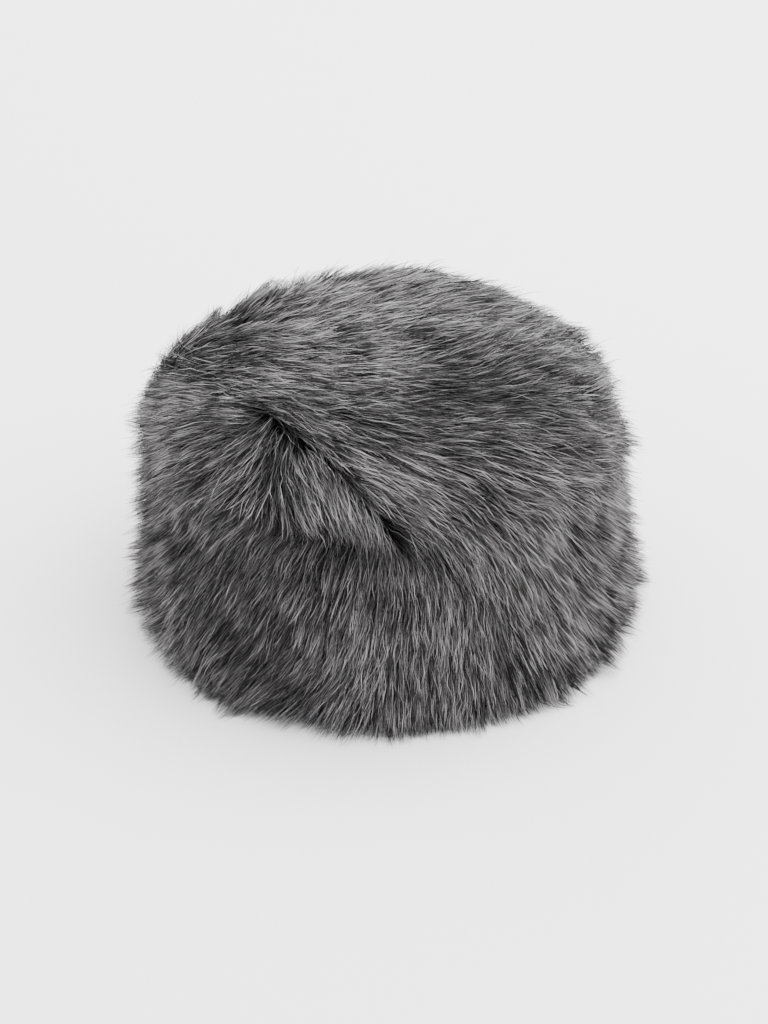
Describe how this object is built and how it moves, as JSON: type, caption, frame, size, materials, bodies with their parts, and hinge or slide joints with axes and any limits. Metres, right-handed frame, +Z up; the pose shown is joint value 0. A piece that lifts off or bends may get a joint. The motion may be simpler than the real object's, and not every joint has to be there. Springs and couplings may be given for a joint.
{
  "type": "round fur hat",
  "caption": "Brimless round fur hat: a hollow hide wall and domed hide crown under long overlapping locks that radiate from a whorl and hang down the side.",
  "frame": {"origin": "middle of the rim, in the plane that the hat stands on", "axes": "+Z up out of the crown, -Y towards the front of the hat, +X to its right as the picture shows it"},
  "size_m": [0.26, 0.26, 0.1439],
  "materials": {
    "hide": "matt suede side of the hide",
    "fur": "long soft grey fur with pale tips"
  },
  "bodies": {
    "root": {"band_hide": "hide", "crown_hide": "hide", "band_fur": "fur", "crown_fur": "fur"}
  },
  "joints": []
}
